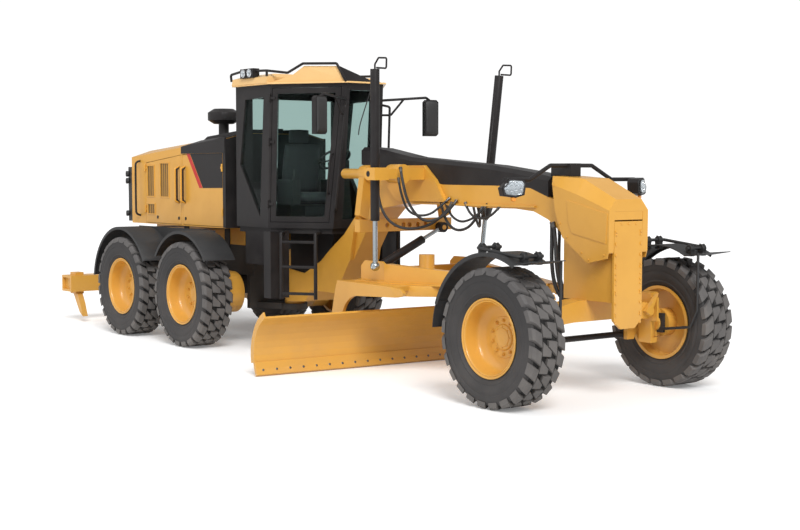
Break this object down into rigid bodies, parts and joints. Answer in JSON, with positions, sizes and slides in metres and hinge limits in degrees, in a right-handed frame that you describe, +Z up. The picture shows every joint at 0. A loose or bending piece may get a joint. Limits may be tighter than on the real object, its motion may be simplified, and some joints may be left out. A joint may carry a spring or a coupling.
{
  "type": "motor grader",
  "caption": "Articulated motor grader with tandem rear drive, leaning steered front wheels, cab, rear ripper and a blade on a turning circle for levelling ground.",
  "frame": {"origin": "on the ground, under the middle of the bounding box", "axes": "+X forward along the machine, +Y to the driver's left, +Z up"},
  "size_m": [9.526, 3.6704, 3.2049],
  "materials": {
    "cast_dark": "rough",
    "dark_paint": "satin dark grey",
    "glass": "tinted",
    "rod_chrome": "polished",
    "trim": "matt",
    "tyre": "matt",
    "yellow_paint": "semi-gloss construction yellow"
  },
  "bodies": {
    "rear_frame": {"rear_frame": "yellow_paint", "engine": "cast_dark", "hood_shell": "yellow_paint", "hood_cover": "dark_paint", "tandem_case_left": "yellow_paint", "tandem_case_right": "yellow_paint", "rear_fenders_left": "dark_paint", "rear_fenders_right": "dark_paint"},
    "front_frame": {"front_frame": "yellow_paint", "nose_cover": "yellow_paint", "frame_cover": "dark_paint", "saddle": "yellow_paint", "cab_shell": "dark_paint", "cab_roof": "yellow_paint", "cab_glass": "glass", "cab_interior": "trim", "cab_base": "dark_paint", "cab_fittings": "dark_paint", "front_axle": "yellow_paint"},
    "wheel_mid_left": {"tyre_mid_left": "tyre", "rim_mid_left": "yellow_paint"},
    "wheel_rear_left": {"tyre_rear_left": "tyre", "rim_rear_left": "yellow_paint"},
    "hood_door_front_left": {"hood_door_front_left": "yellow_paint"},
    "hood_door_rear_left": {"hood_door_rear_left": "yellow_paint"},
    "wheel_mid_right": {"tyre_mid_right": "tyre", "rim_mid_right": "yellow_paint"},
    "wheel_rear_right": {"tyre_rear_right": "tyre", "rim_rear_right": "yellow_paint"},
    "hood_door_front_right": {"hood_door_front_right": "yellow_paint"},
    "hood_door_rear_right": {"hood_door_rear_right": "yellow_paint"},
    "cab_door_left": {"cab_door_left": "dark_paint", "door_glass_left": "glass"},
    "cab_door_right": {"cab_door_right": "dark_paint", "door_glass_right": "glass"},
    "yoke_left": {"yoke_left": "yellow_paint"},
    "knuckle_left": {"knuckle_left": "yellow_paint", "front_fender_left": "dark_paint"},
    "wheel_front_left": {"tyre_front_left": "tyre", "rim_front_left": "yellow_paint"},
    "yoke_right": {"yoke_right": "yellow_paint"},
    "knuckle_right": {"knuckle_right": "yellow_paint", "front_fender_right": "dark_paint"},
    "wheel_front_right": {"tyre_front_right": "tyre", "rim_front_right": "yellow_paint"},
    "lean_bar": {"lean_bar": "dark_paint"},
    "drawbar": {"drawbar": "yellow_paint"},
    "lift_barrel_left": {"lift_barrel_left": "dark_paint"},
    "lift_rod_left": {"lift_rod_left": "rod_chrome"},
    "lift_barrel_right": {"lift_barrel_right": "dark_paint"},
    "lift_rod_right": {"lift_rod_right": "rod_chrome"},
    "centre_barrel": {"centre_barrel": "dark_paint"},
    "centre_rod": {"centre_rod": "rod_chrome"},
    "circle": {"circle": "yellow_paint"},
    "blade_bracket": {"blade_bracket": "yellow_paint"},
    "mouldboard": {"mouldboard": "yellow_paint"},
    "ripper_lower_links": {"ripper_lower_links": "yellow_paint"},
    "ripper_upper_links": {"ripper_upper_links": "yellow_paint"},
    "ripper_beam": {"ripper_beam": "yellow_paint"}
  },
  "joints": [
    {"name": "articulation", "type": "hinge", "parent": "rear_frame", "child": "front_frame", "pos_m": [-0.693, 0, 0.8], "axis": [0, 0, 1], "range_deg": [-20, 20]},
    {"name": "wheel_mid_left_spin", "type": "hinge", "parent": "rear_frame", "child": "wheel_mid_left", "pos_m": [-1.2045, 1.07, 0.606], "axis": [0, 1, 0], "continuous": true},
    {"name": "wheel_rear_left_spin", "type": "hinge", "parent": "rear_frame", "child": "wheel_rear_left", "pos_m": [-2.7275, 1.07, 0.606], "axis": [0, 1, 0], "continuous": true},
    {"name": "hood_door_front_left_hinge", "type": "hinge", "parent": "rear_frame", "child": "hood_door_front_left", "pos_m": [-1.136, 0.712, 1.8], "axis": [0, 0, -1], "range_deg": [0, 80]},
    {"name": "hood_door_rear_left_hinge", "type": "hinge", "parent": "rear_frame", "child": "hood_door_rear_left", "pos_m": [-3.055, 0.712, 1.7], "axis": [0, 0, 1], "range_deg": [0, 100]},
    {"name": "wheel_mid_right_spin", "type": "hinge", "parent": "rear_frame", "child": "wheel_mid_right", "pos_m": [-1.2045, -1.07, 0.606], "axis": [0, 1, 0], "continuous": true},
    {"name": "wheel_rear_right_spin", "type": "hinge", "parent": "rear_frame", "child": "wheel_rear_right", "pos_m": [-2.7275, -1.07, 0.606], "axis": [0, 1, 0], "continuous": true},
    {"name": "hood_door_front_right_hinge", "type": "hinge", "parent": "rear_frame", "child": "hood_door_front_right", "pos_m": [-1.136, -0.712, 1.8], "axis": [0, 0, 1], "range_deg": [0, 80]},
    {"name": "hood_door_rear_right_hinge", "type": "hinge", "parent": "rear_frame", "child": "hood_door_rear_right", "pos_m": [-3.055, -0.712, 1.7], "axis": [0, 0, -1], "range_deg": [0, 100]},
    {"name": "cab_door_left_hinge", "type": "hinge", "parent": "front_frame", "child": "cab_door_left", "pos_m": [-0.06852, 0.76237, 1.39967], "axis": [0.0385, 0, 0.9993], "range_deg": [0, 75]},
    {"name": "cab_door_right_hinge", "type": "hinge", "parent": "front_frame", "child": "cab_door_right", "pos_m": [-0.06852, -0.76237, 1.39967], "axis": [-0.0385, 0, -0.9993], "range_deg": [0, 75]},
    {"name": "lean_left", "type": "hinge", "parent": "front_frame", "child": "yoke_left", "pos_m": [4.157, 0.64, 0.74], "axis": [1, 0, 0], "range_deg": [-18, 18]},
    {"name": "steer_left", "type": "hinge", "parent": "yoke_left", "child": "knuckle_left", "pos_m": [4.157, 0.79, 0.606], "axis": [0, 0, 1], "range_deg": [-47.5, 47.5]},
    {"name": "wheel_front_left_spin", "type": "hinge", "parent": "knuckle_left", "child": "wheel_front_left", "pos_m": [4.157, 1.07, 0.606], "axis": [0, 1, 0], "continuous": true},
    {"name": "lean_right", "type": "hinge", "parent": "front_frame", "child": "yoke_right", "pos_m": [4.157, -0.64, 0.74], "axis": [1, 0, 0], "range_deg": [-18, 18]},
    {"name": "steer_right", "type": "hinge", "parent": "yoke_right", "child": "knuckle_right", "pos_m": [4.157, -0.79, 0.606], "axis": [0, 0, 1], "range_deg": [-47.5, 47.5]},
    {"name": "wheel_front_right_spin", "type": "hinge", "parent": "knuckle_right", "child": "wheel_front_right", "pos_m": [4.157, -1.07, 0.606], "axis": [0, 1, 0], "continuous": true},
    {"name": "lean_bar_pivot", "type": "hinge", "parent": "yoke_right", "child": "lean_bar", "pos_m": [3.967, -0.64, 0.5], "axis": [1, 0, 0], "range_deg": [-18, 18]},
    {"name": "drawbar_lift", "type": "hinge", "parent": "front_frame", "child": "drawbar", "pos_m": [3.857, 0, 0.93], "axis": [0, 1, 0], "range_deg": [-18, 10.5]},
    {"name": "lift_left_swing", "type": "hinge", "parent": "front_frame", "child": "lift_barrel_left", "pos_m": [1.913, 0.753, 2], "axis": [0, 1, 0], "range_deg": [-3.18, 1.94]},
    {"name": "lift_left_extend", "type": "slide", "parent": "lift_barrel_left", "child": "lift_rod_left", "axis": [-0.0765, -0.0571, -0.9954], "range_m": [-0.3691, 0.6313]},
    {"name": "lift_right_swing", "type": "hinge", "parent": "front_frame", "child": "lift_barrel_right", "pos_m": [1.913, -0.753, 2], "axis": [0, 1, 0], "range_deg": [-3.18, 1.94]},
    {"name": "lift_right_extend", "type": "slide", "parent": "lift_barrel_right", "child": "lift_rod_right", "axis": [-0.0765, 0.0571, -0.9954], "range_m": [-0.3691, 0.6313]},
    {"name": "centre_shift_swing", "type": "hinge", "parent": "front_frame", "child": "centre_rod", "pos_m": [1.509, 0.433, 1.43], "axis": [1, 0, 0], "range_deg": [-17.46, 29.78]},
    {"name": "centre_shift_extend", "type": "slide", "parent": "centre_rod", "child": "centre_barrel", "axis": [0, -0.9073, -0.4204], "range_m": [-0.2325, 0.3972]},
    {"name": "circle_turn", "type": "hinge", "parent": "drawbar", "child": "circle", "pos_m": [1.857, 0, 0.85], "axis": [0, 0, 1], "continuous": true},
    {"name": "blade_tip", "type": "hinge", "parent": "circle", "child": "blade_bracket", "pos_m": [1.25877, 0.04603, 0.19], "axis": [0.0767, 0.9971, 0], "range_deg": [-5, 40]},
    {"name": "blade_side_shift", "type": "slide", "parent": "blade_bracket", "child": "mouldboard", "axis": [-0.0767, -0.9971, 0], "range_m": [-0.51, 0.66]},
    {"name": "ripper_lift", "type": "hinge", "parent": "rear_frame", "child": "ripper_lower_links", "pos_m": [-3.943, 0, 0.62], "axis": [0, 1, 0], "range_deg": [-38, 22]},
    {"name": "ripper_upper_swing", "type": "hinge", "parent": "rear_frame", "child": "ripper_upper_links", "pos_m": [-3.943, 0, 0.96], "axis": [0, 1, 0], "range_deg": [-38, 22]},
    {"name": "ripper_beam_level", "type": "hinge", "parent": "ripper_lower_links", "child": "ripper_beam", "pos_m": [-4.413, 0, 0.44], "axis": [0, 1, 0], "range_deg": [-22, 38]}
  ],
  "couplings": [
    {"joint": "lean_left", "follows": "lean_right", "ratio": 1},
    {"joint": "steer_left", "follows": "steer_right", "ratio": 1},
    {"joint": "lean_bar_pivot", "follows": "lean_right", "ratio": -1},
    {"joint": "lift_left_swing", "follows": "drawbar_lift", "ratio": 0.16542},
    {"joint": "lift_left_extend", "follows": "drawbar_lift", "m_per_rad": -2.0032},
    {"joint": "lift_right_swing", "follows": "drawbar_lift", "ratio": 0.16542},
    {"joint": "lift_right_extend", "follows": "drawbar_lift", "m_per_rad": -2.0032},
    {"joint": "centre_shift_swing", "follows": "drawbar_lift", "ratio": -1.6434},
    {"joint": "centre_shift_extend", "follows": "drawbar_lift", "m_per_rad": -1.2579},
    {"joint": "ripper_upper_swing", "follows": "ripper_lift", "ratio": 1},
    {"joint": "ripper_beam_level", "follows": "ripper_lift", "ratio": -1}
  ]
}
